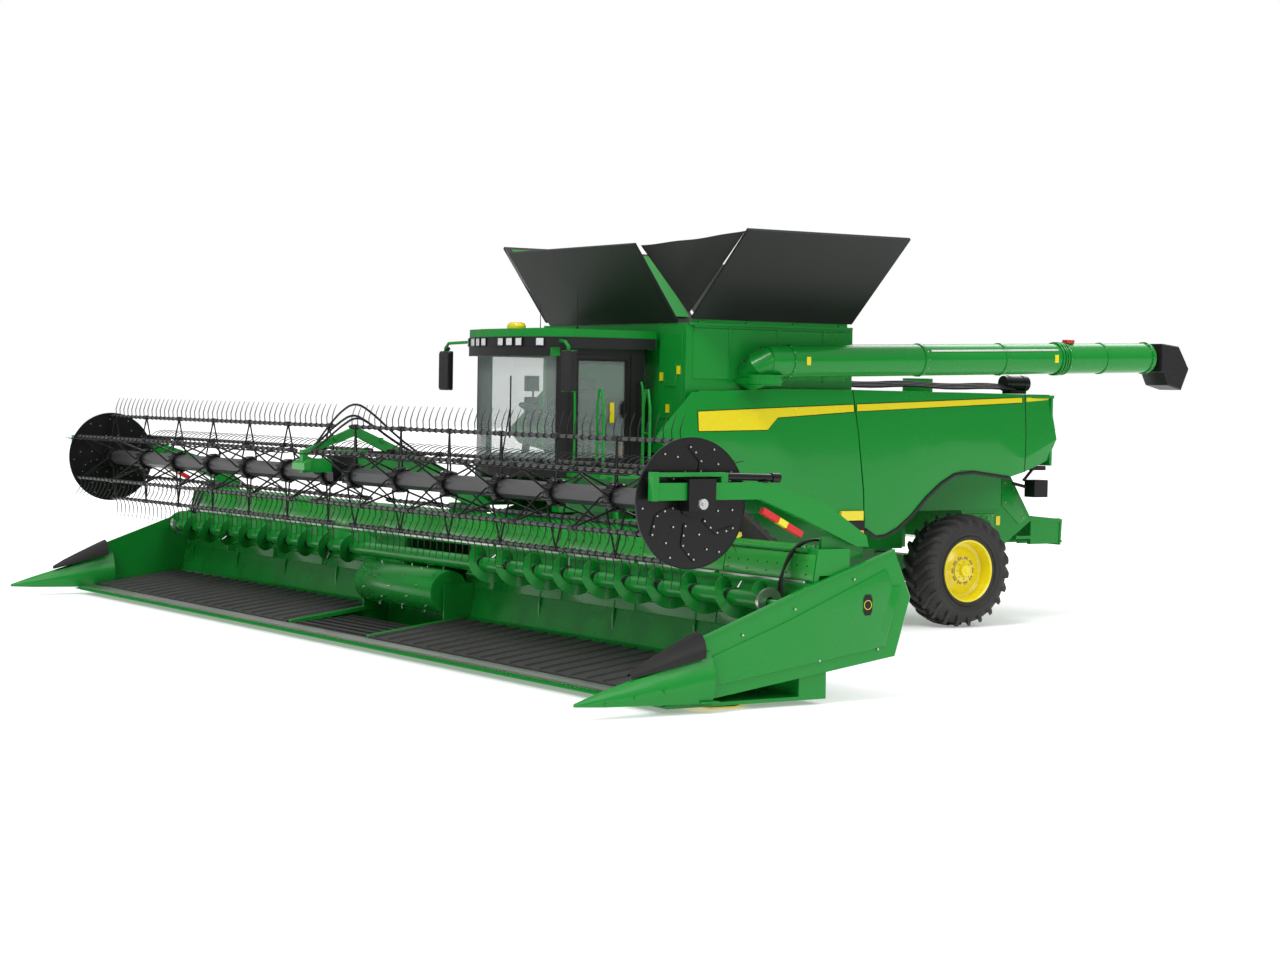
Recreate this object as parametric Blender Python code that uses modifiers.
"""Combine harvester on front tracks, with a wide draper header, modelled at real size.

Metres, +Z up. The machine's front is -Y and its left side is +X. The drawing frame has the rear
axle at y = 0 and the ground at z = 0; the root empty moves it all so that the model's box is
centred over the origin.
"""

import math

import bmesh
import bpy
from mathutils import Matrix, Vector

# Gaps -------------------------------------------------------------------------------------
SEAT = 0.0003          # between touching pieces
PIN = 0.0005           # between a pin or slide and its bearing
CLEAR = 0.006          # between pieces that move past each other

# Header -----------------------------------------------------------------------------------
HEADER_HALF = 7.35     # outer face of an end sheet
SHEET_WALL = 0.05
SHEET_GAP = 0.04       # end sheet to reel arm
DIVIDER_TIP_Y = -9.31
CUTTER_Y = -8.30
CUTTER_DEPTH = 0.18
FLOOR_Z = 0.05
FLOOR_WALL = 0.035
BACK_FOOT_Y, BACK_FOOT_Z = -6.78, 0.30
BACK_TOP_Y, BACK_TOP_Z = -6.60, 1.47
BACK_WALL = 0.03
BEAM_REAR_Y = -6.22
BEAM_HEIGHT = 0.25
HITCH_Y = -6.15        # plane where the header meets the feeder house
HITCH_HALF = 1.00
THROAT_HALF = 0.78
THROAT_LOW, THROAT_HIGH = 0.42, 1.12
RIB_STEP = 1.50
RIB_WALL = 0.03
TILT_Z = 0.78

BELT_WALL = 0.055
BELT_REAR_Y, BELT_REAR_Z = -6.92, 0.30
BELT_GAP = 0.03
CENTRE_BELT_HALF = 0.96

CROSS_Y, CROSS_Z = -6.95, 0.96
CROSS_TUBE = 0.085
CROSS_FLIGHT = 0.20
CROSS_PITCH = 0.60
CROSS_TURNS = 9
FLIGHT_WALL = 0.012
DRUM_Y, DRUM_Z = -7.03, 0.60
DRUM_RADIUS = 0.25
SHAFT = 0.03

# Reel -------------------------------------------------------------------------------------
REEL_Y, REEL_Z = -7.94, 1.915
DISC_RADIUS = 0.61
DISC_WALL = 0.02
BAT_CIRCLE = 0.565
BAT_RADIUS = 0.022
BATS = 6
REEL_TUBE = 0.10
SPIDER_HUB = 0.15
SPIDER_WALL = 0.03
SPIDERS = 5
REEL_INNER = 0.17      # where a reel section starts, beside the centre arm
ARM_WALL = 0.08
ARM_LOW, ARM_HIGH = 1.95, 2.11
ARM_FRONT_Y = -8.45
ARM_BEND_Y = -7.20
ARM_PIVOT_Y, ARM_PIVOT_Z = -6.05, 1.52
ARM_EYE = 0.09
SLIDE_HALF = 0.15
SLIDE_WALL = 0.035
ARM_PEAK_Y, ARM_PEAK_Z = -7.78, 2.46

# Feeder house -----------------------------------------------------------------------------
FEEDER_HALF = 0.80
FEEDER_WALL = 0.025
FEEDER_REAR_Y = -4.42
ARM_SPACE = 0.04       # feeder house to the arms that carry the cab
FEEDER_PIN_IN, FEEDER_PIVOT_Z = 0.06, 1.60

# Tracks and front axle --------------------------------------------------------------------
SPROCKET_Y, SPROCKET_Z, SPROCKET_RADIUS = -3.70, 1.15, 0.40
IDLER_RADIUS = 0.31
FRONT_IDLER_Y, REAR_IDLER_Y = -4.75, -2.60
BELT_THICKNESS = 0.05
LUG_HEIGHT = 0.03
LUG_PITCH = 0.24
WHEEL_GAP = 0.015      # sprocket and idlers to the belt
TRACK_X, TRACK_WIDTH = 1.39, 0.66
TRACK_PLATE = 0.16
ROLLER_RADIUS = 0.14
AXLE_END = 1.02

# Rear axle and wheels ---------------------------------------------------------------------
TYRE_RADIUS, TYRE_WIDTH = 0.72, 0.56
RIM_RADIUS = 0.365
REAR_WHEEL_X = 1.62
KINGPIN_X = 1.32
KINGPIN_RADIUS = 0.095
HUB_X = 1.45

# Body -------------------------------------------------------------------------------------
BODY_FRONT_Y, BODY_REAR_Y = -4.25, 1.25
BODY_HALF, BODY_LOW, BODY_HIGH = 1.05, 1.45, 2.14
KEEL_HALF, KEEL_LOW = 0.78, 0.95
BODY_WALL = 0.04
SHIELD_X = 1.70
SHIELD_WALL = 0.03
SHIELD_TOP_Z = 3.00
SEAM_TOP_Y, SEAM_FOOT_Y, SEAM_FOOT_Z = -1.79, -1.57, 1.27
DECK_Z, DECK_WALL = 2.97, 0.04
HOOD_REAR_Y = 1.56

# Grain tank -------------------------------------------------------------------------------
TANK_HALF, TANK_FRONT_Y, TANK_REAR_Y = 1.62, -4.25, -1.75
TANK_LOW, TANK_RIM = 2.20, 3.76
TANK_WALL = 0.03
COVER_HINGE_X, COVER_HINGE_Z = 1.64, 3.83
COVER_WIDTH, COVER_WALL, COVER_ANGLE = 1.49, 0.035, 42.0
COVER_INSET = 0.05
PANEL_HINGE_Z = 3.78
PANEL_INSET = 0.01     # an end panel's hinge, in from its wall's face
PANEL_HALF, PANEL_HEIGHT, PANEL_WALL, PANEL_ANGLE = 1.45, 1.10, 0.03, 55.0
FABRIC_WALL = 0.006

# Unloading auger --------------------------------------------------------------------------
AUGER_X, AUGER_Y = 1.95, -3.33
AUGER_BASE_Z = 3.12
AUGER_RADIUS = 0.195
AUGER_RING = 0.22
AUGER_FRONT_Z, AUGER_SLOPE = 3.32, 0.027
FOLD_Y = 1.365
FOLD_HINGE = 0.247
TUBE_END_Y = 2.96
SPOUT_REAR_Y = 3.56
SPOUT_WALL = 0.02

# Cab --------------------------------------------------------------------------------------
CAB_HALF, CAB_REAR_Y, CAB_CORNER_Y, CAB_NOSE_Y = 1.00, -4.42, -5.50, -5.85
CAB_LOW, CAB_FLOOR, CAB_HIGH = 1.90, 1.97, 3.44
CAB_WALL = 0.06
ROOF_HIGH, ROOF_LIP = 3.66, 0.10
VISOR_LOW = 3.34
GLASS_WALL = 0.012
DOOR_FRONT_Y, DOOR_REAR_Y, DOOR_LOW, DOOR_HIGH = -5.42, -4.62, 2.02, 3.36
DOOR_WALL = 0.045
DOOR_RIM = 0.07
PLATFORM_OUT, PLATFORM_REAR_Y, PLATFORM_WALL = 1.74, -4.46, 0.05
LADDER_FRONT_Y, LADDER_REAR_Y = -5.36, -4.88
LADDER_FOOT_Z, LADDER_LEAN = 0.45, 0.30
LADDER_POST = 0.035
RAIL = 0.018

# Rear -------------------------------------------------------------------------------------
HOUSING_HALF = 1.00
HOUSING_TIP_Y, HOUSING_TIP_Z = 1.85, 1.30
TAIL_HINGE = 0.024

Y_CENTRE = (DIVIDER_TIP_Y + SPOUT_REAR_Y) / 2

for old in list(bpy.data.objects):
    bpy.data.objects.remove(old, do_unlink=True)


def new_collection(name):
    made = bpy.data.collections.new(name)
    bpy.context.scene.collection.children.link(made)
    return made


PARTS = new_collection("combine_harvester")
CUTTERS = new_collection("cutters")
CUTTERS.hide_render = True
SCRATCH = new_collection("scratch")


# Materials --------------------------------------------------------------------------------
def material(name, colour, roughness=0.4, metallic=0.0, alpha=1.0):
    made = bpy.data.materials.new(name)
    made.use_nodes = True
    shader = made.node_tree.nodes["Principled BSDF"]
    shader.inputs["Base Color"].default_value = (*colour, 1)
    shader.inputs["Roughness"].default_value = roughness
    shader.inputs["Metallic"].default_value = metallic
    shader.inputs["Alpha"].default_value = alpha
    made.diffuse_color = (*colour, alpha)
    return made


GREEN = material("green_paint", (0.01, 0.20, 0.03), 0.3)
YELLOW = material("yellow_paint", (0.90, 0.70, 0.0), 0.35)
BLACK = material("black_plastic", (0.02, 0.02, 0.02), 0.5)
RUBBER = material("rubber", (0.025, 0.025, 0.025), 0.8)
STEEL = material("steel", (0.35, 0.35, 0.36), 0.4, 1.0)
DARK = material("dark_metal", (0.05, 0.05, 0.055), 0.45, 0.5)
GLASS = material("glass", (0.55, 0.65, 0.65), 0.05, 0.0, 0.3)
FABRIC = material("fabric", (0.04, 0.04, 0.04), 0.9)


# Shapes, each a mesh in the drawing frame ---------------------------------------------------
def finished(shape, name="shape"):
    """A mesh from a bmesh, with its loose seams welded and its faces pointing out."""
    bmesh.ops.remove_doubles(shape, verts=shape.verts, dist=0.00002)
    bmesh.ops.recalc_face_normals(shape, faces=shape.faces)
    mesh = bpy.data.meshes.new(name)
    shape.to_mesh(mesh)
    shape.free()
    return mesh


def box(low, high):
    """A block between two corners."""
    size = Vector(high) - Vector(low)
    centre = (Vector(high) + Vector(low)) / 2
    shape = bmesh.new()
    bmesh.ops.create_cube(shape, matrix=Matrix.Translation(centre) @ Matrix.Diagonal((*size, 1)))
    return finished(shape)


def both_sides(make, low, high):
    """A block and its mirror image across the machine's middle."""
    return merged(
        make((low[0], low[1], low[2]), (high[0], high[1], high[2])),
        make((-high[0], low[1], low[2]), (-low[0], high[1], high[2])),
    )


def rod(start, end, radius, end_radius=None, sides=12):
    """A round bar, or a cone, from one point to another."""
    start, end = Vector(start), Vector(end)
    along = end - start
    turn = along.to_track_quat("Z", "Y").to_matrix().to_4x4()
    shape = bmesh.new()
    bmesh.ops.create_cone(
        shape,
        cap_ends=True,
        segments=sides,
        radius1=radius,
        radius2=radius if end_radius is None else end_radius,
        depth=along.length,
        matrix=Matrix.Translation((start + end) / 2) @ turn,
    )
    return finished(shape)


def from_object(made):
    """The evaluated mesh of a helper object, which is then removed."""
    bpy.context.view_layer.update()
    graph = bpy.context.evaluated_depsgraph_get()
    mesh = bpy.data.meshes.new_from_object(made.evaluated_get(graph))
    place = made.matrix_world.copy()
    bpy.data.objects.remove(made, do_unlink=True)
    shape = bmesh.new()
    shape.from_mesh(mesh)
    bmesh.ops.transform(shape, matrix=place, verts=shape.verts)
    return finished(shape)


def add_spline(curve, points, cyclic):
    spline = curve.splines.new("POLY")
    spline.points.add(len(points) - 1)
    for slot, point in zip(spline.points, points):
        slot.co = (*point, 0, 1) if len(point) == 2 else (*point, 1)
    spline.use_cyclic_u = cyclic


def curve_object(points, cyclic, dimensions):
    curve = bpy.data.curves.new("curve", "CURVE")
    curve.dimensions = dimensions
    add_spline(curve, points, cyclic)
    made = bpy.data.objects.new("curve", curve)
    SCRATCH.objects.link(made)
    return made


PLANES = {
    "x": Matrix(((0, 0, 1, 0), (1, 0, 0, 0), (0, 1, 0, 0), (0, 0, 0, 1))),
    "y": Matrix(((1, 0, 0, 0), (0, 0, -1, 0), (0, 1, 0, 0), (0, 0, 0, 1))),
    "z": Matrix.Identity(4),
}


def plate(points, axis, low, high, hole=None):
    """A flat outline, (y, z), (x, z) or (x, y), as thick as from low to high along its axis."""
    made = curve_object(points, True, "2D")
    if hole:
        add_spline(made.data, hole, True)
    made.data.fill_mode = "BOTH"
    made.data.extrude = (high - low) / 2
    middle = (low + high) / 2
    lift = {"x": (middle, 0, 0), "y": (0, middle, 0), "z": (0, 0, middle)}[axis]
    made.matrix_world = Matrix.Translation(lift) @ PLANES[axis]
    return from_object(made)


def tube(points, radius, resolution=2, cyclic=False):
    made = curve_object(points, cyclic, "3D")
    made.data.bevel_depth = radius
    made.data.bevel_resolution = resolution
    made.data.use_fill_caps = not cyclic
    return from_object(made)


def turned(profile, centre, steps=32):
    """A ring turned about an X axis through centre, from (x offset, radius) points."""
    mesh = bpy.data.meshes.new("profile")
    corners = [(radius, 0, offset) for offset, radius in profile]
    edges = [(i, (i + 1) % len(corners)) for i in range(len(corners))]
    mesh.from_pydata(corners, edges, [])
    made = bpy.data.objects.new("profile", mesh)
    SCRATCH.objects.link(made)
    screw = made.modifiers.new("Screw", "SCREW")
    screw.steps = screw.render_steps = steps
    screw.use_merge_vertices = True
    screw.merge_threshold = 0.0001
    made.matrix_world = Matrix.Translation(centre) @ Matrix.Rotation(math.pi / 2, 4, "Y")
    return from_object(made)


def flight(start_x, turns, pitch, hand, steps=6):
    """A screw flight round the cross auger's tube, with its two ends closed."""
    inner, outer = CROSS_TUBE - 0.01, CROSS_FLIGHT
    mesh = bpy.data.meshes.new("profile")
    corners = [(r, 0, x) for r, x in ((inner, 0), (outer, 0), (outer, FLIGHT_WALL), (inner, FLIGHT_WALL))]
    mesh.from_pydata(corners, [(0, 1), (1, 2), (2, 3), (3, 0)], [])
    made = bpy.data.objects.new("profile", mesh)
    SCRATCH.objects.link(made)
    screw = made.modifiers.new("Screw", "SCREW")
    screw.steps = screw.render_steps = steps
    screw.iterations = turns
    screw.screw_offset = pitch
    screw.use_merge_vertices = True
    screw.merge_threshold = 0.0001
    made.matrix_world = (
        Matrix.Translation((hand * start_x, CROSS_Y, CROSS_Z))
        @ Matrix.Diagonal((hand, 1, 1, 1))
        @ Matrix.Rotation(math.pi / 2, 4, "Y")
    )
    open_mesh = from_object(made)
    shape = bmesh.new()
    shape.from_mesh(open_mesh)
    bmesh.ops.holes_fill(shape, edges=[e for e in shape.edges if e.is_boundary])
    return finished(shape)


def merged(*meshes):
    """Several separate shapes as one mesh, to be joined or cut together."""
    shape = bmesh.new()
    for mesh in meshes:
        shape.from_mesh(mesh)
    whole = bpy.data.meshes.new("shapes")
    shape.to_mesh(whole)
    shape.free()
    return whole


def mirrored(mesh):
    """The same shape on the other side of the machine."""
    shape = bmesh.new()
    shape.from_mesh(mesh)
    bmesh.ops.transform(shape, matrix=Matrix.Diagonal((-1, 1, 1, 1)), verts=shape.verts)
    bmesh.ops.reverse_faces(shape, faces=shape.faces)
    whole = bpy.data.meshes.new("mirrored")
    shape.to_mesh(whole)
    shape.free()
    return whole


def sided(mesh, side):
    return mesh if side > 0 else mirrored(mesh)


# Bodies and nodes ---------------------------------------------------------------------------
PIVOTS = {}


def body(name, pivot, parent=None):
    """An empty on a joint's axis, which carries all that turns or slides there."""
    empty = bpy.data.objects.new(name + "_axis", None)
    empty.empty_display_size = 0.3
    PARTS.objects.link(empty)
    base = PIVOTS[parent][1] if parent else Vector((0, 0, 0))
    empty.location = Vector(pivot) - base
    if parent:
        empty.parent = PIVOTS[parent][0]
    PIVOTS[name] = (empty, Vector(pivot))


def held(mesh, name, body_name, collection):
    """An object of this mesh under a body's empty."""
    empty, pivot = PIVOTS[body_name]
    mesh.transform(Matrix.Translation(-pivot))
    made = bpy.data.objects.new(name, mesh)
    made.parent = empty
    collection.objects.link(made)
    return made


def node(name, body_name, look, first, joined=(), cut=(), smooth=True):
    """One solid: its first shape, with others joined on and others cut away."""
    made = held(first, name, body_name, PARTS)
    made.data.materials.clear()
    made.data.materials.append(look)
    for operation, meshes in (("UNION", joined), ("DIFFERENCE", cut)):
        for number, mesh in enumerate(meshes):
            helper = held(mesh, f"{name}_{operation.lower()}_{number}", body_name, CUTTERS)
            helper.hide_render = True
            helper.display_type = "WIRE"
            modifier = made.modifiers.new(operation.title(), "BOOLEAN")
            modifier.operation = operation
            modifier.solver = "EXACT"
            modifier.object = helper
    if smooth:
        made.data.shade_smooth()
        made.data.set_sharp_from_angle(angle=math.radians(35))
    return made


body("chassis", (0, 0, 0))
PIVOTS["chassis"][0].location.y = -Y_CENTRE


# Separator body, deck and hood ----------------------------------------------------------------
def separator_body():
    hull = box((-BODY_HALF, BODY_FRONT_Y, BODY_LOW), (BODY_HALF, BODY_REAR_Y, BODY_HIGH))
    keel = box((-KEEL_HALF, BODY_FRONT_Y, KEEL_LOW), (KEEL_HALF, -0.20, BODY_LOW + 0.05))
    saddle = box((-0.30, -0.25, 0.93), (0.30, 0.25, BODY_LOW + 0.05))
    arms = both_sides(box, (FEEDER_HALF + ARM_SPACE, -5.60, 1.50), (CAB_HALF, BODY_FRONT_Y + 0.02, CAB_LOW - SEAT))
    wall = BODY_WALL
    inside = box(
        (-BODY_HALF + wall, BODY_FRONT_Y + wall, BODY_LOW + wall),
        (BODY_HALF - wall, BODY_REAR_Y + 0.1, BODY_HIGH - wall),
    )
    keel_inside = box(
        (-KEEL_HALF + wall, BODY_FRONT_Y + wall, KEEL_LOW + wall),
        (KEEL_HALF - wall, -0.20 - wall, BODY_LOW + 0.10),
    )
    mouth = box(
        (-KEEL_HALF + wall, BODY_FRONT_Y - 0.1, KEEL_LOW + wall), (KEEL_HALF - wall, BODY_FRONT_Y + 0.1, 1.72)
    )
    node("separator_body", "chassis", GREEN, hull, (keel, saddle, arms), (inside, keel_inside, mouth))


def engine_block():
    node("engine_block", "chassis", DARK, box((-0.75, -1.35, BODY_HIGH + SEAT), (0.55, -0.15, 2.85)))


def rear_hood():
    half = SHIELD_X - SEAT
    deck = box((-half, TANK_REAR_Y + SEAT, DECK_Z - DECK_WALL), (half, HOOD_REAR_Y, DECK_Z))
    wall = box((-half + 0.02, HOOD_REAR_Y - DECK_WALL, 2.05), (half - 0.02, HOOD_REAR_Y, DECK_Z - 0.01))
    shelf = box(
        (-BODY_HALF, BODY_REAR_Y + SEAT, BODY_HIGH - BODY_WALL), (BODY_HALF, HOOD_REAR_Y - 0.01, BODY_HIGH)
    )
    cleaner = rod((0.25, 0.45, DECK_Z - 0.02), (0.25, 0.45, DECK_Z + 0.20), 0.20, sides=24)
    exhaust = rod((-1.05, 0.2, DECK_Z - 0.02), (-1.05, 0.2, DECK_Z + 0.32), 0.09, sides=16)
    node("rear_hood", "chassis", GREEN, deck, (wall, shelf, cleaner, exhaust))


# Tank -----------------------------------------------------------------------------------------
def grain_tank():
    outer = box((-TANK_HALF, TANK_FRONT_Y, TANK_LOW), (TANK_HALF, TANK_REAR_Y, TANK_RIM))
    inner_half = TANK_HALF - TANK_WALL
    slope_z, sump_half = 2.80, 0.50
    inner_y = (TANK_FRONT_Y + TANK_WALL, TANK_REAR_Y - TANK_WALL)
    hopper = plate(
        (
            (-inner_half, TANK_RIM + 0.1),
            (-inner_half, slope_z + 0.04),
            (-sump_half, TANK_LOW + 0.04),
            (sump_half, TANK_LOW + 0.04),
            (inner_half, slope_z + 0.04),
            (inner_half, TANK_RIM + 0.1),
        ),
        "y",
        *inner_y,
    )
    under = plate(
        ((sump_half + 0.05, TANK_LOW - 0.1), (inner_half, TANK_LOW - 0.1), (inner_half, slope_z - 0.04), (sump_half + 0.05, TANK_LOW)),
        "y",
        *inner_y,
    )
    rails = both_sides(
        box, (TANK_HALF - 0.02, -4.15, TANK_RIM - 0.05), (COVER_HINGE_X - SEAT, -1.85, COVER_HINGE_Z - SEAT)
    )
    shield_ledges = both_sides(box, (TANK_HALF - 0.02, -4.10, 2.90), (SHIELD_X - SEAT, -1.85, 2.96))
    front_rail = box(
        (-1.40, TANK_FRONT_Y + PANEL_INSET + SEAT, TANK_RIM - 0.05), (1.40, TANK_FRONT_Y + 0.05, PANEL_HINGE_Z - SEAT)
    )
    rear_rail = box((-1.40, TANK_REAR_Y - 0.05, TANK_RIM - 0.05), (1.40, TANK_REAR_Y - PANEL_INSET - SEAT, PANEL_HINGE_Z - SEAT))
    foot = both_feet()
    bracket = box((TANK_HALF - 0.02, AUGER_Y - 0.20, AUGER_BASE_Z - 0.07), (AUGER_X, AUGER_Y + 0.20, AUGER_BASE_Z - SEAT))
    flange = rod((AUGER_X, AUGER_Y, AUGER_BASE_Z - 0.07), (AUGER_X, AUGER_Y, AUGER_BASE_Z - SEAT), AUGER_RING, sides=24)
    node(
        "grain_tank",
        "chassis",
        GREEN,
        outer,
        (rails, shield_ledges, front_rail, rear_rail, foot, bracket, flange),
        (hopper, under, mirrored(under)),
    )


def both_feet():
    """The posts that stand the tank on the separator body."""
    return both_sides(box, (0.52, TANK_FRONT_Y + 0.3, BODY_HIGH + SEAT), (0.62, TANK_REAR_Y - 0.3, TANK_LOW + 0.05))


def cover_outline(width, wall, angle):
    """A panel from its hinge outwards at an angle above level, its thickness on the under side."""
    lean = math.radians(angle)
    along = (math.cos(lean), math.sin(lean))
    under = (math.sin(lean), -math.cos(lean))
    return (
        (0, 0),
        (width * along[0], width * along[1]),
        (width * along[0] + wall * under[0], width * along[1] + wall * under[1]),
        (wall * under[0], wall * under[1]),
    )


def tank_covers():
    for side, name in ((1, "left"), (-1, "right")):
        body(f"{name}_cover", (side * COVER_HINGE_X, TANK_FRONT_Y, COVER_HINGE_Z), "chassis")
        outline = [(COVER_HINGE_X + x, COVER_HINGE_Z + z) for x, z in cover_outline(COVER_WIDTH, COVER_WALL, COVER_ANGLE)]
        panel = plate(outline, "y", TANK_FRONT_Y + COVER_INSET, TANK_REAR_Y - COVER_INSET)
        node(f"{name}_tank_cover", f"{name}_cover", BLACK, sided(panel, side))
    for facing, name, wall_y in ((-1, "front", TANK_FRONT_Y), (1, "rear", TANK_REAR_Y)):
        hinge_y = wall_y - facing * PANEL_INSET
        body(f"{name}_cover", (0, hinge_y, PANEL_HINGE_Z), "chassis")
        outline = [
            (hinge_y + facing * u, PANEL_HINGE_Z + z)
            for u, z in cover_outline(PANEL_HEIGHT, PANEL_WALL, PANEL_ANGLE)
        ]
        panel = plate(outline, "x", -PANEL_HALF, PANEL_HALF)
        node(f"{name}_tank_cover", f"{name}_cover", BLACK, panel)


def corner_fabrics():
    """The cloth that closes each corner between a side cover and an end panel."""
    lean, tilt = math.radians(COVER_ANGLE), math.radians(PANEL_ANGLE)
    for side, side_name in ((1, "left"), (-1, "right")):
        for facing, end_name, wall_y in ((-1, "front", TANK_FRONT_Y), (1, "rear", TANK_REAR_Y)):
            reach = 0.97 * PANEL_HEIGHT
            corner = Vector((1.60, wall_y - facing * COVER_INSET + facing * 0.002, 3.87))
            top_panel = Vector(
                (
                    PANEL_HALF + 0.0007,
                    wall_y + facing * (reach * math.cos(tilt) - PANEL_INSET),
                    PANEL_HINGE_Z + reach * math.sin(tilt),
                )
            )
            far = 0.97 * COVER_WIDTH
            top_cover = Vector(
                (
                    COVER_HINGE_X + far * math.cos(lean),
                    wall_y - facing * COVER_INSET + facing * 0.0007,
                    COVER_HINGE_Z + far * math.sin(lean),
                )
            )
            away = (top_panel - corner).cross(top_cover - corner).normalized()
            if away.x < 0:
                away = -away
            shape = bmesh.new()
            corners = [shape.verts.new(p) for p in (corner, top_panel, top_cover)]
            face = shape.faces.new(corners)
            thick = bmesh.ops.extrude_face_region(shape, geom=[face])
            moved = [v for v in thick["geom"] if isinstance(v, bmesh.types.BMVert)]
            bmesh.ops.translate(shape, vec=away * FABRIC_WALL, verts=moved)
            node(f"{side_name}_{end_name}_fabric", "chassis", FABRIC, sided(finished(shape), side))


# Side shields ---------------------------------------------------------------------------------
def side_shields():
    top = SHIELD_TOP_Z
    front = (
        (-4.20, top - 0.06),
        (-4.72, 2.42),
        (-4.55, 2.25),
        (-3.87, 2.08),
        (-3.06, 1.65),
        (-2.30, 1.45),
        (SEAM_FOOT_Y - CLEAR, SEAM_FOOT_Z),
        (SEAM_TOP_Y - CLEAR, top),
        (-2.94, top),
    )
    rear = (
        (SEAM_TOP_Y, top),
        (SEAM_FOOT_Y, SEAM_FOOT_Z),
        (-1.34, 1.14),
        (-0.95, 1.31),
        (-0.45, 1.78),
        (-0.02, 2.00),
        (0.79, 1.90),
        (1.06, 1.97),
        (1.51, 2.12),
        (1.62, 2.40),
        (1.52, top - 0.02),
    )
    for side, name in ((1, "left"), (-1, "right")):
        for outline, end in ((front, "front"), (rear, "rear")):
            body(f"{name}_{end}_shield", (side * (SHIELD_X - 0.01), outline[0][0], top), "chassis")
            panel = plate(outline, "x", SHIELD_X, SHIELD_X + SHIELD_WALL)
            node(f"{name}_{end}_shield_panel", f"{name}_{end}_shield", GREEN, sided(panel, side))


# Cab ------------------------------------------------------------------------------------------
def cab_plan(inset, rear_inset=None, steps=12):
    """The cab's outline from above: square at the rear, bowed at the front."""
    rear = CAB_REAR_Y - (inset if rear_inset is None else rear_inset)
    half = CAB_HALF - inset
    bow = [
        (half * math.cos(t), CAB_CORNER_Y + (CAB_NOSE_Y + inset - CAB_CORNER_Y) * math.sin(t))
        for t in (math.pi * i / steps for i in range(steps + 1))
    ]
    return [(half, rear), *bow, (-half, rear)]


def windscreen_outline(outer, inner, reach, steps=12):
    """A bowed strip between two insets of the cab's plan, as wide as the front window."""
    points = []
    for inset, backwards in ((outer, False), (inner, True)):
        half = CAB_HALF - inset
        span = math.acos(reach / half)
        angles = [span + (math.pi - 2 * span) * i / steps for i in range(steps + 1)]
        if backwards:
            angles.reverse()
        points += [
            (half * math.cos(t), CAB_CORNER_Y + (CAB_NOSE_Y + inset - CAB_CORNER_Y) * math.sin(t)) for t in angles
        ]
    return points


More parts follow.
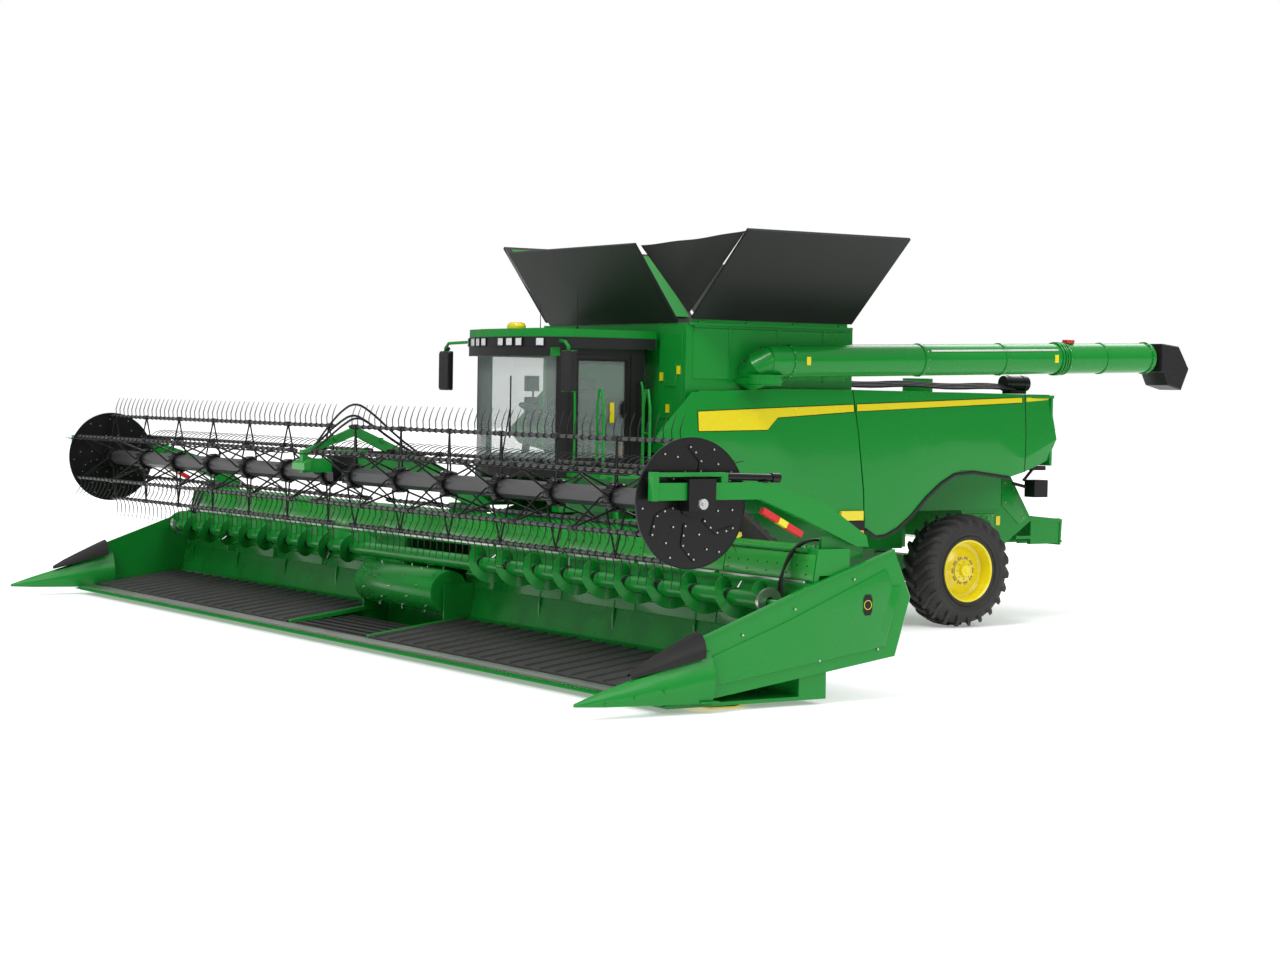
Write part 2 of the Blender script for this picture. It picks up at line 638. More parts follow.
def cab():
    window_low, window_high = CAB_FLOOR + 0.10, CAB_HIGH - 0.10
    pillar = 0.07
    shell = plate(cab_plan(0), "z", CAB_LOW, CAB_HIGH)
    inside = plate(cab_plan(CAB_WALL), "z", CAB_FLOOR, CAB_HIGH + 0.1)
    front_cut = box((-CAB_HALF + pillar, CAB_NOSE_Y - 0.1, window_low), (CAB_HALF - pillar, CAB_CORNER_Y - 0.03, window_high))
    right_cut = box((-CAB_HALF - 0.1, -5.40, 2.15), (-CAB_HALF + 0.1, -4.60, window_high))
    door_cut = box(
        (CAB_HALF - 0.1, DOOR_FRONT_Y - CLEAR, DOOR_LOW - CLEAR), (CAB_HALF + 0.1, DOOR_REAR_Y + CLEAR, DOOR_HIGH + CLEAR)
    )
    rear_cut = box((-0.70, CAB_REAR_Y - 0.1, 2.85), (0.70, CAB_REAR_Y + 0.1, 3.25))
    node("cab_shell", "chassis", BLACK, shell, (), (inside, front_cut, right_cut, door_cut, rear_cut))

    glass = plate(
        windscreen_outline(0.02, 0.02 + GLASS_WALL, CAB_HALF - pillar - 0.004), "z", window_low + SEAT, window_high - SEAT
    )
    node("windscreen", "chassis", GLASS, glass)
    side_glass = box((-CAB_HALF + 0.02, -5.40 + SEAT, 2.15 + SEAT), (-CAB_HALF + 0.02 + GLASS_WALL, -4.60 - SEAT, window_high - SEAT))
    node("right_cab_window", "chassis", GLASS, side_glass)

    roof = plate(cab_plan(-ROOF_LIP), "z", CAB_HIGH + SEAT, ROOF_HIGH)
    visor = plate(
        windscreen_outline(-ROOF_LIP, -CLEAR, CAB_HALF * 0.97), "z", VISOR_LOW, CAB_HIGH + 0.03
    )
    mirrors = []
    for side in (1, -1):
        arm = tube(
            ((side * 1.0, -5.62, 3.52), (side * 1.38, -5.78, 3.50), (side * 1.46, -5.78, 3.44), (side * 1.46, -5.78, 3.30)),
            0.02,
        )
        head = box((side * 1.46 - 0.12, -5.80, 2.92), (side * 1.46 + 0.12, -5.74, 3.40))
        mirrors += [arm, head]
    node("cab_roof", "chassis", GREEN, roof, (visor, *mirrors))

    pedestal = box((-0.22, -4.98, CAB_FLOOR + SEAT), (0.22, -4.62, 2.28))
    cushion = box((-0.27, -5.08, 2.26), (0.27, -4.58, 2.42))
    back = plate(((-4.68, 2.38), (-4.56, 2.38), (-4.50, 3.10), (-4.60, 3.12)), "x", -0.25, 0.25)
    arm_rest = box((-0.40, -5.02, 2.55), (-0.28, -4.60, 2.62))
    arm_post = box((-0.36, -4.74, 2.30), (-0.26, -4.66, 2.57))
    node("cab_seat", "chassis", FABRIC, cushion, (pedestal, back, arm_rest, arm_post))

    column = plate(((-5.62, CAB_FLOOR + SEAT), (-5.42, CAB_FLOOR + SEAT), (-5.32, 2.66), (-5.40, 2.70)), "x", -0.09, 0.09)
    turn = Matrix.Translation((0, -5.36, 2.70)) @ Matrix.Rotation(math.radians(-22), 4, "X")
    ring = [turn @ Vector((0.20 * math.cos(t), 0.20 * math.sin(t), 0.05)) for t in (math.tau * i / 16 for i in range(16))]
    spoke = rod(turn @ Vector((-0.20, 0, 0.05)), turn @ Vector((0.20, 0, 0.05)), 0.015, sides=8)
    stem = rod(turn @ Vector((0, 0, -0.1)), turn @ Vector((0, 0, 0.055)), 0.03, sides=8)
    node("steering_column", "chassis", BLACK, column, (stem, spoke, tube(ring, 0.016, 1, True)))


def cab_door():
    hinge_x = CAB_HALF - 0.01
    body("cab_door", (hinge_x, DOOR_REAR_Y, DOOR_LOW), "chassis")
    outer_x, inner_x = CAB_HALF - 0.005, CAB_HALF - 0.005 - DOOR_WALL
    panel = box((inner_x, DOOR_FRONT_Y, DOOR_LOW), (outer_x, DOOR_REAR_Y, DOOR_HIGH))
    window = box(
        (inner_x - 0.1, DOOR_FRONT_Y + DOOR_RIM, DOOR_LOW + 0.12), (outer_x + 0.1, DOOR_REAR_Y - DOOR_RIM, DOOR_HIGH - DOOR_RIM)
    )
    knuckles = merged(*(rod((hinge_x, DOOR_REAR_Y, z), (hinge_x, DOOR_REAR_Y, z + 0.1), CLEAR - PIN, sides=8) for z in (2.2, 3.1)))
    node("cab_door_frame", "cab_door", BLACK, panel, (knuckles,), (window,))
    glass = box(
        (inner_x + 0.015, DOOR_FRONT_Y + DOOR_RIM + SEAT, DOOR_LOW + 0.12 + SEAT),
        (inner_x + 0.015 + GLASS_WALL, DOOR_REAR_Y - DOOR_RIM - SEAT, DOOR_HIGH - DOOR_RIM - SEAT),
    )
    node("cab_door_glass", "cab_door", GLASS, glass)


def platform_and_ladder():
    deck = box((CAB_HALF + SEAT, CAB_CORNER_Y, CAB_FLOOR - PLATFORM_WALL), (PLATFORM_OUT, PLATFORM_REAR_Y, CAB_FLOOR))
    rails = []
    for y in (LADDER_FRONT_Y - 0.08, LADDER_REAR_Y + 0.08):
        loop = (
            (1.70, y, CAB_FLOOR - 0.02),
            (1.70, y, 2.75),
            (1.66, y, 2.95),
            (1.60, y, 2.95),
            (1.56, y, 2.75),
            (1.56, y, CAB_FLOOR - 0.02),
        )
        rails += [tube(loop, RAIL), rod((1.56, y, 2.45), (1.70, y, 2.45), 0.014, sides=8)]
    node("cab_platform", "chassis", GREEN, deck, rails)

    hinge_x = PLATFORM_OUT + LADDER_POST + PIN
    body("ladder", (hinge_x, LADDER_REAR_Y, CAB_FLOOR), "chassis")
    top = CAB_FLOOR - 0.03
    stiles = merged(
        *(
            plate(
                (
                    (hinge_x - 0.027, top),
                    (hinge_x + 0.027, top),
                    (hinge_x + 0.027 + LADDER_LEAN, LADDER_FOOT_Z),
                    (hinge_x - 0.027 + LADDER_LEAN, LADDER_FOOT_Z),
                ),
                "y",
                y - 0.02,
                y + 0.02,
            )
            for y in (LADDER_FRONT_Y, LADDER_REAR_Y)
        )
    )
    steps = []
    for i in range(5):
        z = LADDER_FOOT_Z + 0.08 + 0.30 * i
        x = hinge_x + LADDER_LEAN * (top - z) / (top - LADDER_FOOT_Z)
        steps.append(box((x - 0.10, LADDER_FRONT_Y, z), (x + 0.10, LADDER_REAR_Y, z + 0.03)))
    post = rod((hinge_x, LADDER_REAR_Y, 1.60), (hinge_x, LADDER_REAR_Y, top), LADDER_POST, sides=16)
    node("ladder_steps", "ladder", GREEN, post, (stiles, *steps))


# Tracks and axles -----------------------------------------------------------------------------
def around(circles, spread, steps=7):
    """The outline of a belt stretched round wheels, each (y, z, radius), spread outwards."""
    points = []
    count = len(circles)
    for i, (y, z, radius) in enumerate(circles):
        before, after = circles[i - 1], circles[(i + 1) % count]
        angles = []
        for first, last in ((before, (y, z, radius)), ((y, z, radius), after)):
            dy, dz = last[0] - first[0], last[1] - first[1]
            lean = math.asin((first[2] - last[2]) / math.hypot(dy, dz))
            angles.append(math.atan2(dz, dy) + math.pi / 2 - lean)
        start, end = angles
        while end > start:
            end -= math.tau
        size = radius + spread
        points += [
            (y + size * math.cos(start + (end - start) * k / steps), z + size * math.sin(start + (end - start) * k / steps))
            for k in range(steps + 1)
        ]
    return points


def with_lugs(outline, pitch, height):
    """The outline with a square shoe standing out of it at each pitch."""
    lengths = [0.0]
    for a, b in zip(outline, outline[1:] + outline[:1]):
        lengths.append(lengths[-1] + math.dist(a, b))
    total = lengths[-1]
    count = round(total / pitch)

    def at(distance, lift):
        distance %= total
        for i, (low, high) in enumerate(zip(lengths, lengths[1:])):
            if distance <= high:
                break
        a, b = Vector(outline[i]), Vector(outline[(i + 1) % len(outline)])
        along = (b - a).normalized()
        spot = a + along * (distance - low)
        return tuple(spot + Vector((-along.y, along.x)) * lift)

    points = []
    for i in range(count):
        start = total * i / count
        for share, lift in ((0.0, 0), (0.04, 1), (0.36, 1), (0.40, 0), (0.70, 0)):
            points.append(at(start + share * total / count, lift * height))
    return points


def track_wheels():
    ground = BELT_THICKNESS + LUG_HEIGHT + WHEEL_GAP
    return (
        (FRONT_IDLER_Y, ground + IDLER_RADIUS, IDLER_RADIUS),
        (SPROCKET_Y, SPROCKET_Z, SPROCKET_RADIUS),
        (REAR_IDLER_Y, ground + IDLER_RADIUS, IDLER_RADIUS),
    )


def tracks():
    wheels = track_wheels()
    inner = around(wheels, WHEEL_GAP)
    outer = with_lugs(around(wheels, WHEEL_GAP + BELT_THICKNESS), LUG_PITCH, LUG_HEIGHT)
    low, high = TRACK_X - TRACK_WIDTH / 2, TRACK_X + TRACK_WIDTH / 2
    belt_low = BELT_THICKNESS + LUG_HEIGHT
    plate_low, plate_high = TRACK_X - TRACK_PLATE / 2, TRACK_X + TRACK_PLATE / 2
    for side, name in ((1, "left"), (-1, "right")):
        node(f"{name}_track", "chassis", RUBBER, sided(plate(outer, "x", low, high, inner), side))
        web = plate(
            (
                (FRONT_IDLER_Y - 0.05, 0.42),
                (SPROCKET_Y - 0.12, SPROCKET_Z + 0.10),
                (SPROCKET_Y + 0.12, SPROCKET_Z + 0.10),
                (REAR_IDLER_Y + 0.05, 0.42),
                (REAR_IDLER_Y - 0.10, 0.22),
                (FRONT_IDLER_Y + 0.10, 0.22),
            ),
            "x",
            plate_low,
            plate_high,
        )
        pieces = [rod((AXLE_END + SEAT, SPROCKET_Y, SPROCKET_Z), (high - 0.05, SPROCKET_Y, SPROCKET_Z), 0.14, sides=20)]
        pieces.append(rod((plate_high - 0.02, SPROCKET_Y, SPROCKET_Z), (high - 0.06, SPROCKET_Y, SPROCKET_Z), SPROCKET_RADIUS, sides=24))
        idlers = []
        for y in (FRONT_IDLER_Y, REAR_IDLER_Y):
            z = belt_low + WHEEL_GAP + IDLER_RADIUS
            idlers.append(rod((low + 0.04, y, z), (high - 0.04, y, z), IDLER_RADIUS, sides=18))
        for y in (-4.15, -3.68, -3.20):
            z = belt_low + ROLLER_RADIUS + PIN
            idlers.append(rod((low + 0.04, y, z), (high - 0.04, y, z), ROLLER_RADIUS, sides=12))
        pieces.append(merged(*idlers))
        node(f"{name}_track_frame", "chassis", YELLOW, sided(web, side), [sided(piece, side) for piece in pieces])


def front_axle():
    beam = box((-0.99, SPROCKET_Y - 0.15, 0.62), (0.99, SPROCKET_Y + 0.15, KEEL_LOW - SEAT))
    drives = both_sides(box, (0.90, SPROCKET_Y - 0.20, 0.62), (AXLE_END, SPROCKET_Y + 0.20, 1.38))
    cylinders = merged(
        *(
            tube(((x, SPROCKET_Y - 0.10, 0.78), (x, -4.95, 0.60)), 0.06)
            for x in (0.50, -0.50)
        )
    )
    rods = merged(*(rod((x, -4.80, 0.6217), (x, -5.50, 0.5140), 0.035) for x in (0.50, -0.50)))
    eyes = merged(*(rod((x - 0.05, -5.50, 0.5140), (x + 0.05, -5.50, 0.5140), 0.055) for x in (0.50, -0.50)))
    node("front_axle", "chassis", GREEN, beam, (drives, cylinders, rods, eyes))


def rear_axle():
    beam_end = KINGPIN_X - KINGPIN_RADIUS - PIN
    beam = box((-beam_end, -0.13, 0.60), (beam_end, 0.13, 0.86))
    boss = box((-0.15, -0.15, 0.84), (0.15, 0.15, 0.93 - SEAT))
    node("rear_axle", "chassis", GREEN, beam, (boss,))
    for side, name in ((1, "left"), (-1, "right")):
        body(f"{name}_knuckle", (side * KINGPIN_X, 0, TYRE_RADIUS), "chassis")
        pin = rod((side * KINGPIN_X, 0, 0.50), (side * KINGPIN_X, 0, 0.95), KINGPIN_RADIUS, sides=24)
        stub = rod((side * KINGPIN_X, 0, TYRE_RADIUS), (side * HUB_X, 0, TYRE_RADIUS), 0.085, sides=20)
        node(f"{name}_steering_knuckle", f"{name}_knuckle", GREEN, pin, (stub,))
        body(f"{name}_rear_wheel", (side * REAR_WHEEL_X, 0, TYRE_RADIUS), f"{name}_knuckle")
        centre = (REAR_WHEEL_X, 0, TYRE_RADIUS)
        half, bead = TYRE_WIDTH / 2, RIM_RADIUS
        tread = TYRE_RADIUS
        tyre = turned(
            (
                (-half + 0.04, bead + SEAT),
                (-half, bead + 0.09),
                (-half, tread - 0.14),
                (-half + 0.07, tread),
                (half - 0.07, tread),
                (half, tread - 0.14),
                (half, bead + 0.09),
                (half - 0.04, bead + SEAT),
            ),
            centre,
            28,
        )
        node(f"{name}_rear_tyre", f"{name}_rear_wheel", RUBBER, sided(tyre, side))
        face = HUB_X + SEAT - REAR_WHEEL_X
        rim = turned(
            (
                (-half + 0.03, bead - 0.025),
                (-half + 0.03, bead),
                (half - 0.03, bead),
                (half - 0.03, bead - 0.025),
                (face + 0.06, 0.26),
                (face + 0.06, 0.001),
                (face, 0.001),
                (face, 0.28),
            ),
            centre,
            28,
        )
        hub = rod((side * (HUB_X + SEAT), 0, TYRE_RADIUS), (side * (HUB_X + 0.16), 0, TYRE_RADIUS), 0.11, sides=12)
        node(f"{name}_rear_rim", f"{name}_rear_wheel", YELLOW, sided(rim, side), (hub,))


# Rear -----------------------------------------------------------------------------------------
def residue_housing():
    outer = plate(
        (
            (0.60, BODY_LOW - SEAT),
            (BODY_REAR_Y + SEAT, BODY_LOW - SEAT),
            (BODY_REAR_Y + SEAT, 1.95),
            (1.45, 1.90),
            (HOUSING_TIP_Y, HOUSING_TIP_Z),
            (1.35, 0.97),
            (0.80, 1.05),
        ),
        "x",
        -HOUSING_HALF,
        HOUSING_HALF,
    )
    wall = 0.03
    inside = plate(
        ((0.66, 1.40), (1.29, 1.40), (1.29, 1.85), (1.43, 1.85), (2.00, 0.99), (1.34, 1.01), (0.82, 1.09)),
        "x",
        -HOUSING_HALF + wall,
        HOUSING_HALF - wall,
    )
    node("residue_housing", "chassis", GREEN, outer, (), (inside,))
    hinge_y = HOUSING_TIP_Y + TAIL_HINGE + PIN
    body("tailboard", (0, hinge_y, HOUSING_TIP_Z), "chassis")
    tray = plate(
        (
            (hinge_y - 0.01, HOUSING_TIP_Z - 0.015),
            (hinge_y + 0.03, HOUSING_TIP_Z + 0.05),
            (2.46, HOUSING_TIP_Z),
            (2.44, 0.95),
            (2.41, 0.95),
            (2.42, HOUSING_TIP_Z - 0.04),
        ),
        "x",
        -0.94,
        0.94,
    )
    cheeks = both_sides(box, (0.90, hinge_y + 0.025, 0.97), (0.93, 2.43, HOUSING_TIP_Z + 0.01))
    barrel = rod((-0.92, hinge_y, HOUSING_TIP_Z), (0.92, hinge_y, HOUSING_TIP_Z), TAIL_HINGE)
    node("tailboard_tray", "tailboard", GREEN, tray, (cheeks, barrel))


# Feeder house and header ----------------------------------------------------------------------
def feeder_house():
    body("feeder", (0, FEEDER_REAR_Y - FEEDER_PIN_IN, FEEDER_PIVOT_Z), "chassis")
    rear, front = FEEDER_REAR_Y, HITCH_Y
    outer = plate(((rear, 1.72), (rear, 1.02), (front, 0.34), (front, 1.20)), "x", -FEEDER_HALF, FEEDER_HALF)
    wall = FEEDER_WALL
    inside = plate(
        ((rear + 0.1, 1.72 - wall), (rear + 0.1, 1.06), (front - 0.1, 0.34), (front - 0.1, 1.20 - wall)),
        "x",
        -FEEDER_HALF + wall,
        FEEDER_HALF - wall,
    )
    face = box((-HITCH_HALF, front, 0.32), (HITCH_HALF, front + 0.06, 1.24))
    face_hole = box((-THROAT_HALF + 0.03, front - 0.1, THROAT_LOW), (THROAT_HALF - 0.03, front + 0.1, THROAT_HIGH))
    reach, pin_y = FEEDER_HALF + ARM_SPACE - SEAT, rear - FEEDER_PIN_IN
    pins = rod((-reach, pin_y, FEEDER_PIVOT_Z), (reach, pin_y, FEEDER_PIVOT_Z), 0.05)
    node("feeder_house", "feeder", GREEN, outer, (face, pins), (inside, face_hole))


def header_frame():
    half = HEADER_HALF - SHEET_WALL - SEAT
    wall = BACK_WALL
    back = plate(
        (
            (BACK_FOOT_Y, BACK_FOOT_Z),
            (BACK_TOP_Y, BACK_TOP_Z),
            (BEAM_REAR_Y, BACK_TOP_Z),
            (BEAM_REAR_Y, BACK_TOP_Z - BEAM_HEIGHT),
            (BACK_TOP_Y + 0.02, BACK_TOP_Z - BEAM_HEIGHT),
            (BACK_FOOT_Y + wall + 0.01, BACK_FOOT_Z),
        ),
        "x",
        -half,
        half,
    )
    floor = box((-half, CUTTER_Y, FLOOR_Z), (half, BACK_FOOT_Y + 0.06, FLOOR_Z + FLOOR_WALL))
    toe = box((-half, BACK_FOOT_Y - 0.02, FLOOR_Z), (half, BACK_FOOT_Y + 0.30, BACK_FOOT_Z + 0.02))
    ribs = []
    rib = (
        (BACK_FOOT_Y + 0.02, FLOOR_Z + 0.01),
        (BACK_FOOT_Y + 0.02, 0.6),
        (BACK_TOP_Y, 1.30),
        (BEAM_REAR_Y, 1.30),
        (BEAM_REAR_Y, 0.9),
        (BACK_FOOT_Y + 0.29, FLOOR_Z + 0.01),
    )
    for i in range(5):
        x = HITCH_HALF - RIB_WALL + RIB_STEP * i
        ribs += [plate(rib, "x", x, x + RIB_WALL), plate(rib, "x", -x - RIB_WALL, -x)]
    hitch = box((-HITCH_HALF, HITCH_Y - 0.10, 0.32), (HITCH_HALF, HITCH_Y - SEAT, 1.26))
    links = both_sides(box, (HITCH_HALF - 0.12, BACK_FOOT_Y + 0.1, 0.34), (HITCH_HALF, HITCH_Y - 0.05, 0.46))
    cheek = both_sides(box, (0.99, DRUM_Y - 0.10, FLOOR_Z + 0.01), (1.01, BACK_FOOT_Y + 0.05, 0.70))
    brackets = []
    for x in (0.0, HEADER_HALF - SHEET_WALL - SHEET_GAP - ARM_WALL / 2):
        inner = x - ARM_WALL / 2 - SEAT - 0.04
        low = (inner, BEAM_REAR_Y - 0.25, BACK_TOP_Z - 0.10)
        high = (inner + 0.04, ARM_PIVOT_Y + 0.08, ARM_PIVOT_Z + 0.06)
        brackets.append(box(low, high))
        if x:
            brackets.append(box((-high[0], low[1], low[2]), (-low[0], high[1], high[2])))
    throat = box((-THROAT_HALF, BACK_FOOT_Y - 0.3, THROAT_LOW), (THROAT_HALF, HITCH_Y + 0.1, THROAT_HIGH))
    node(
        "header_frame",
        "header",
        GREEN,
        back,
        (floor, toe, merged(*ribs), hitch, links, cheek, merged(*brackets)),
        (throat,),
    )


def draper_deck():
    low = FLOOR_Z + FLOOR_WALL + SEAT
    front_y = CUTTER_Y + CUTTER_DEPTH
    outline = (
        (front_y, low),
        (front_y + 0.12, low),
        (BELT_REAR_Y, BELT_REAR_Z - BELT_WALL),
        (BELT_REAR_Y, BELT_REAR_Z),
        (front_y, low + BELT_WALL),
    )
    outer = HEADER_HALF - SHEET_WALL - 0.10
    inner = CENTRE_BELT_HALF + 0.08
    sides = [plate(outline, "x", inner, outer), plate(outline, "x", -outer, -inner)]
    centre = plate(
        ((front_y, low), (front_y + 0.12, low), (BELT_REAR_Y - 0.32, 0.13), (BELT_REAR_Y - 0.32, 0.18), (front_y, low + 0.04)),
        "x",
        -CENTRE_BELT_HALF,
        CENTRE_BELT_HALF,
    )
    strip = box((-outer, front_y - 0.01, low), (outer, front_y + 0.05, low + 0.03))
    node("draper_deck", "header", RUBBER, strip, (merged(centre, *sides),))


def end_sheets():
    low, high = HEADER_HALF - SHEET_WALL, HEADER_HALF
    outline = (
        (-5.69, 1.45),
        (-5.48, 0.99),
        (-5.66, 0.42),
        (-7.97, 0.10),
        (DIVIDER_TIP_Y, 0.12),
        (DIVIDER_TIP_Y, 0.17),
        (-7.98, 0.67),
        (-6.80, 1.09),
    )
    for side, name in ((1, "left"), (-1, "right")):
        sheet = plate(outline, "x", low, high)
        cone = rod((low - 0.06, -7.90, 0.42), (low + 0.01, -9.24, 0.16), 0.20, 0.04, 8)
        node(f"{name}_end_sheet", "header", GREEN, sided(sheet, side), (sided(cone, side),))


def cross_auger():
    body("cross_auger", (0, CROSS_Y, CROSS_Z), "header")
    end = HEADER_HALF - SHEET_WALL - SEAT
    shaft = rod((-end, CROSS_Y, CROSS_Z), (end, CROSS_Y, CROSS_Z), SHAFT, sides=8)
    drum = rod((-6.95, CROSS_Y, CROSS_Z), (6.95, CROSS_Y, CROSS_Z), CROSS_TUBE, sides=8)
    flights = [flight(1.35, CROSS_TURNS, CROSS_PITCH, hand) for hand in (1, -1)]
    node("cross_auger_screw", "cross_auger", GREEN, drum, (shaft, *flights))


def feed_drum():
    body("feed_drum", (0, DRUM_Y, DRUM_Z), "header")
    drum = rod((-0.95, DRUM_Y, DRUM_Z), (0.95, DRUM_Y, DRUM_Z), DRUM_RADIUS, sides=24)
    shaft = rod((-0.99 + SEAT, DRUM_Y, DRUM_Z), (0.99 - SEAT, DRUM_Y, DRUM_Z), SHAFT, sides=8)
    node("feed_drum_body", "feed_drum", GREEN, drum, (shaft,))


# Reel -----------------------------------------------------------------------------------------
def arm_places():
    """Each arm's name and its middle's place across the machine."""
    out = HEADER_HALF - SHEET_WALL - SHEET_GAP - ARM_WALL / 2
    return (("left", out), ("center", 0.0), ("right", -out))


def reel_arms():
    body("reel_arms", (0, ARM_PIVOT_Y, ARM_PIVOT_Z), "header")
    for name, x in arm_places():
        bar = [
            (ARM_FRONT_Y, ARM_LOW),
            (ARM_FRONT_Y, ARM_HIGH),
            (ARM_BEND_Y, ARM_HIGH),
            (-6.45, 1.88),
            (ARM_PIVOT_Y + 0.06, ARM_PIVOT_Z + 0.07),
            (ARM_PIVOT_Y + 0.09, ARM_PIVOT_Z - 0.04),
            (ARM_PIVOT_Y - 0.06, ARM_PIVOT_Z - 0.03),
            (-6.75, 1.76),
            (ARM_BEND_Y - 0.05, ARM_LOW),
        ]
        first = plate(bar, "x", x - ARM_WALL / 2, x + ARM_WALL / 2)
        joined = []
        if name == "center":
            peak = (
                (ARM_FRONT_Y + 0.01, ARM_HIGH - 0.02),
                (ARM_FRONT_Y + 0.01, ARM_HIGH + 0.09),
                (ARM_PEAK_Y - 0.05, ARM_PEAK_Z),
                (ARM_PEAK_Y + 0.05, ARM_PEAK_Z),
                (-6.60, 1.98),
                (-6.75, 1.88),
                (ARM_PEAK_Y, ARM_PEAK_Z - 0.09),
                (ARM_FRONT_Y + 0.06, ARM_HIGH + 0.05),
                (ARM_FRONT_Y + 0.06, ARM_HIGH - 0.02),
            )
            joined.append(plate(peak, "x", x - ARM_WALL / 2 + 0.01, x + ARM_WALL / 2 - 0.01))
        node(f"{name}_reel_arm", "reel_arms", GREEN, first, joined)


def reel_slides():
    body("reel_slide", (0, REEL_Y, REEL_Z), "reel_arms")
    for name, x in arm_places():
        half = ARM_WALL / 2 + 0.002 + SLIDE_WALL
        low, high = ARM_LOW - PIN - 0.10, ARM_HIGH + PIN + SLIDE_WALL
        sleeve = box((x - half, REEL_Y - SLIDE_HALF, low), (x + half, REEL_Y + SLIDE_HALF, high))
        slot = box(
            (x - ARM_WALL / 2 - 0.002, REEL_Y - SLIDE_HALF - 0.1, ARM_LOW - PIN),
            (x + ARM_WALL / 2 + 0.002, REEL_Y + SLIDE_HALF + 0.1, ARM_HIGH + PIN),
        )
        bore = rod((x - half - 0.1, REEL_Y, REEL_Z), (x + half + 0.1, REEL_Y, REEL_Z), SHAFT + PIN + 0.0005, sides=24)
        node(f"{name}_reel_slide", "reel_slide", BLACK, sleeve, (), (slot, bore))


def reel_section(side):
    """One half of the reel: tube, spiders, bats, end disc and stub shafts."""
    arm_x = HEADER_HALF - SHEET_WALL - SHEET_GAP - ARM_WALL / 2
    disc_out = arm_x - ARM_WALL / 2 - SLIDE_WALL - 0.03
    tube_bar = rod((REEL_INNER, REEL_Y, REEL_Z), (disc_out - 0.01, REEL_Y, REEL_Z), REEL_TUBE, sides=6)
    disc = rod((disc_out - DISC_WALL, REEL_Y, REEL_Z), (disc_out, REEL_Y, REEL_Z), DISC_RADIUS, sides=24)
    end_stub = rod((disc_out - 0.05, REEL_Y, REEL_Z), (arm_x + ARM_WALL / 2 + SLIDE_WALL, REEL_Y, REEL_Z), SHAFT, sides=12)
    inner_stub = rod((SEAT, REEL_Y, REEL_Z), (REEL_INNER + 0.05, REEL_Y, REEL_Z), SHAFT, sides=12)
    bats, stars = [], []
    for i in range(BATS):
        turn = math.tau * i / BATS + math.pi / BATS
        y, z = REEL_Y + BAT_CIRCLE * math.cos(turn), REEL_Z + BAT_CIRCLE * math.sin(turn)
        bats.append(rod((REEL_INNER + 0.02, y, z), (disc_out - 0.005, y, z), BAT_RADIUS, sides=5))
    outline = []
    for i in range(BATS):
        turn = math.tau * i / BATS + math.pi / BATS
        for radius, offset in ((BAT_CIRCLE, -0.03), (BAT_CIRCLE, 0.03), (SPIDER_HUB, math.pi / BATS)):
            outline.append((REEL_Y + radius * math.cos(turn + offset), REEL_Z + radius * math.sin(turn + offset)))
    span = disc_out - REEL_INNER - 0.9
    for i in range(SPIDERS):
        x = REEL_INNER + 0.08 + span * i / (SPIDERS - 1)
        stars.append(plate(outline, "x", x, x + SPIDER_WALL))
    shapes = (merged(*stars), merged(*bats), disc, end_stub, inner_stub)
    return sided(tube_bar, side), [sided(shape, side) for shape in shapes]


def reel():
    body("reel", (0, REEL_Y, REEL_Z), "reel_slide")
    for side, name in ((1, "left"), (-1, "right")):
        first, others = reel_section(side)
        node(f"{name}_reel_section", "reel", DARK, first, others)


# Unloading auger ------------------------------------------------------------------------------
def auger_z(y):
    return AUGER_FRONT_Z + AUGER_SLOPE * (y - AUGER_Y)


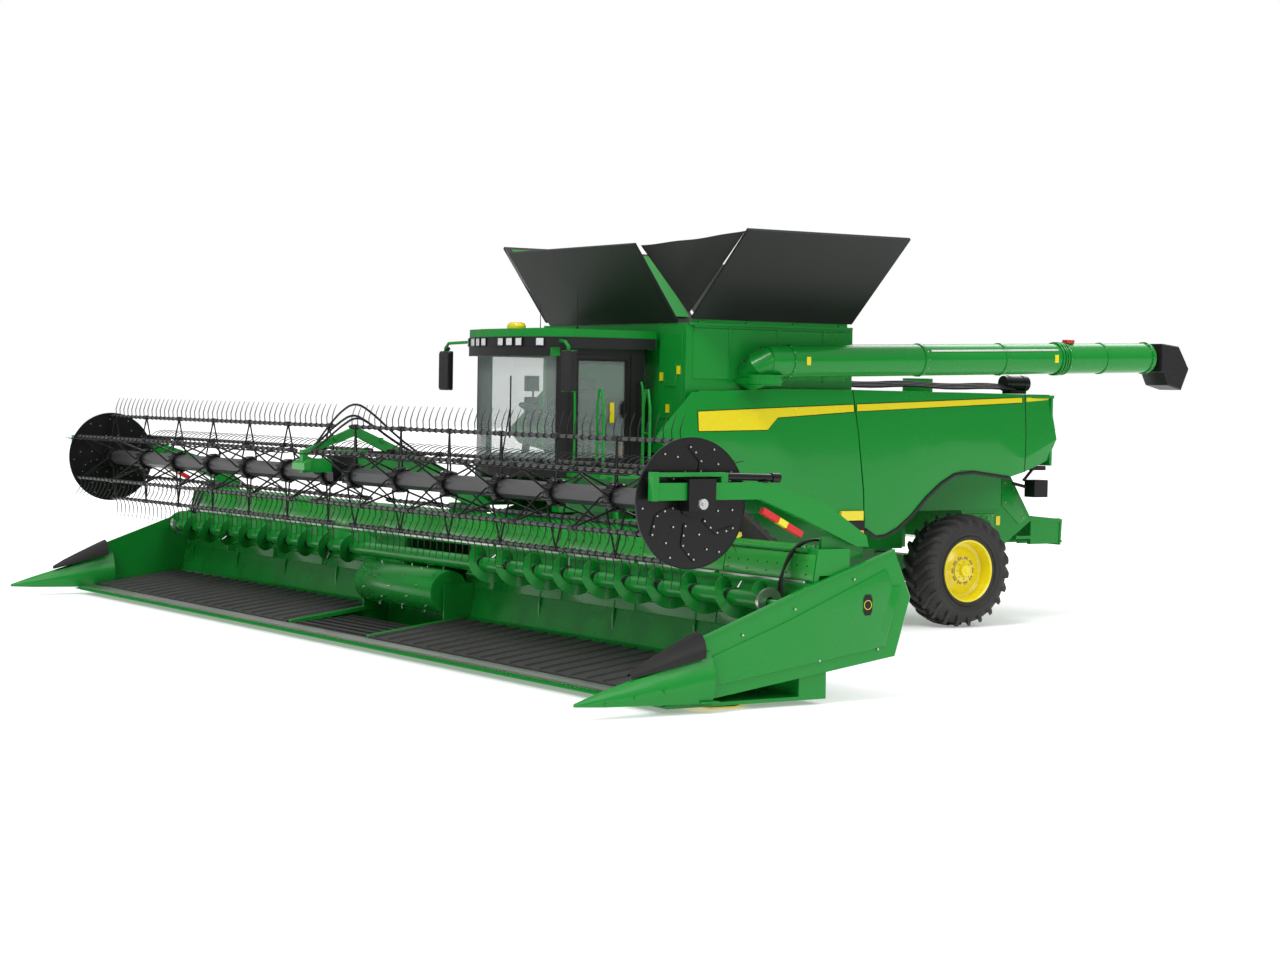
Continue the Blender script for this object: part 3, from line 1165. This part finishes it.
def unloading_auger():
    body("auger", (AUGER_X, AUGER_Y, AUGER_BASE_Z), "chassis")
    bend = 0.20
    path = [(AUGER_X, AUGER_Y, AUGER_BASE_Z), (AUGER_X, AUGER_Y, auger_z(AUGER_Y) - 0.06)]
    path += [(AUGER_X, AUGER_Y + 0.09, auger_z(AUGER_Y) + 0.0), (AUGER_X, AUGER_Y + bend, auger_z(AUGER_Y + bend))]
    path.append((AUGER_X, FOLD_Y - CLEAR / 2, auger_z(FOLD_Y)))
    pipe = tube(path, AUGER_RADIUS, 4)
    rings = merged(
        rod((AUGER_X, -1.08, auger_z(-1.08)), (AUGER_X, -1.02, auger_z(-1.02)), AUGER_RING, sides=24),
        rod((AUGER_X, FOLD_Y - 0.035, auger_z(FOLD_Y)), (AUGER_X, FOLD_Y - CLEAR / 2, auger_z(FOLD_Y)), AUGER_RING, sides=24),
    )
    knuckle = rod(
        (AUGER_X - FOLD_HINGE, FOLD_Y - 0.003, auger_z(FOLD_Y) - 0.10),
        (AUGER_X - FOLD_HINGE, FOLD_Y - 0.003, auger_z(FOLD_Y) - PIN),
        0.02,
        sides=12,
    )
    lug = box(
        (AUGER_X - FOLD_HINGE, FOLD_Y - 0.06, auger_z(FOLD_Y) - 0.10), (AUGER_X - 0.1, FOLD_Y - 0.02, auger_z(FOLD_Y) - PIN)
    )
    node("unloading_auger", "auger", GREEN, pipe, (rings, lug, knuckle))

    body("auger_end", (AUGER_X - FOLD_HINGE, FOLD_Y, auger_z(FOLD_Y)), "auger")
    start = FOLD_Y + CLEAR / 2
    outer = rod((AUGER_X, start, auger_z(start)), (AUGER_X, TUBE_END_Y, auger_z(TUBE_END_Y)), AUGER_RADIUS, sides=24)
    ring = rod((AUGER_X, start, auger_z(FOLD_Y)), (AUGER_X, FOLD_Y + 0.035, auger_z(FOLD_Y)), AUGER_RING, sides=24)
    upper = rod(
        (AUGER_X - FOLD_HINGE, FOLD_Y - 0.003, auger_z(FOLD_Y)),
        (AUGER_X - FOLD_HINGE, FOLD_Y - 0.003, auger_z(FOLD_Y) + 0.10),
        0.02,
        sides=12,
    )
    upper_lug = box(
        (AUGER_X - FOLD_HINGE, FOLD_Y + 0.01, auger_z(FOLD_Y)), (AUGER_X - 0.1, FOLD_Y + 0.04, auger_z(FOLD_Y) + 0.10)
    )
    node("auger_end_tube", "auger_end", GREEN, outer, (ring, upper, upper_lug))

    tilt_y = TUBE_END_Y - 0.02
    middle = auger_z(TUBE_END_Y)
    body("spout", (AUGER_X, tilt_y, middle), "auger_end")
    side_in = AUGER_RADIUS + PIN
    side_out = side_in + SPOUT_WALL
    hood_front = TUBE_END_Y + 0.10
    outline = (
        (hood_front, middle + 0.19),
        (3.36, middle + 0.16),
        (SPOUT_REAR_Y, middle - 0.14),
        (3.42, middle - 0.42),
        (3.16, middle - 0.36),
        (hood_front, middle - 0.19),
    )
    hood = plate(outline, "x", AUGER_X - side_out, AUGER_X + side_out)
    hollow = plate(
        (
            (hood_front - 0.1, middle + 0.17),
            (3.35, middle + 0.14),
            (SPOUT_REAR_Y - 0.024, middle - 0.14),
            (3.38, middle - 0.55),
            (3.20, middle - 0.50),
            (hood_front + 0.01, middle - 0.17),
            (hood_front - 0.1, middle - 0.17),
        ),
        "x",
        AUGER_X - side_in,
        AUGER_X + side_in,
    )
    ears = [
        box(
            (AUGER_X + side * (side_in + SPOUT_WALL / 2) - SPOUT_WALL / 2, tilt_y - 0.05, middle - 0.05),
            (AUGER_X + side * (side_in + SPOUT_WALL / 2) + SPOUT_WALL / 2, hood_front + 0.01, middle + 0.05),
        )
        for side in (1, -1)
    ]
    node("auger_spout", "spout", BLACK, hood, (merged(*ears),), (hollow,))


# The whole machine ----------------------------------------------------------------------------
separator_body()
engine_block()
rear_hood()
grain_tank()
tank_covers()
corner_fabrics()
side_shields()
cab()
cab_door()
platform_and_ladder()
tracks()
front_axle()
rear_axle()
residue_housing()
feeder_house()
body("header", (0, HITCH_Y, TILT_Z), "feeder")
header_frame()
draper_deck()
end_sheets()
cross_auger()
feed_drum()
reel_arms()
reel_slides()
reel()
unloading_auger()

bpy.context.scene.collection.children.unlink(SCRATCH)
bpy.data.collections.remove(SCRATCH)
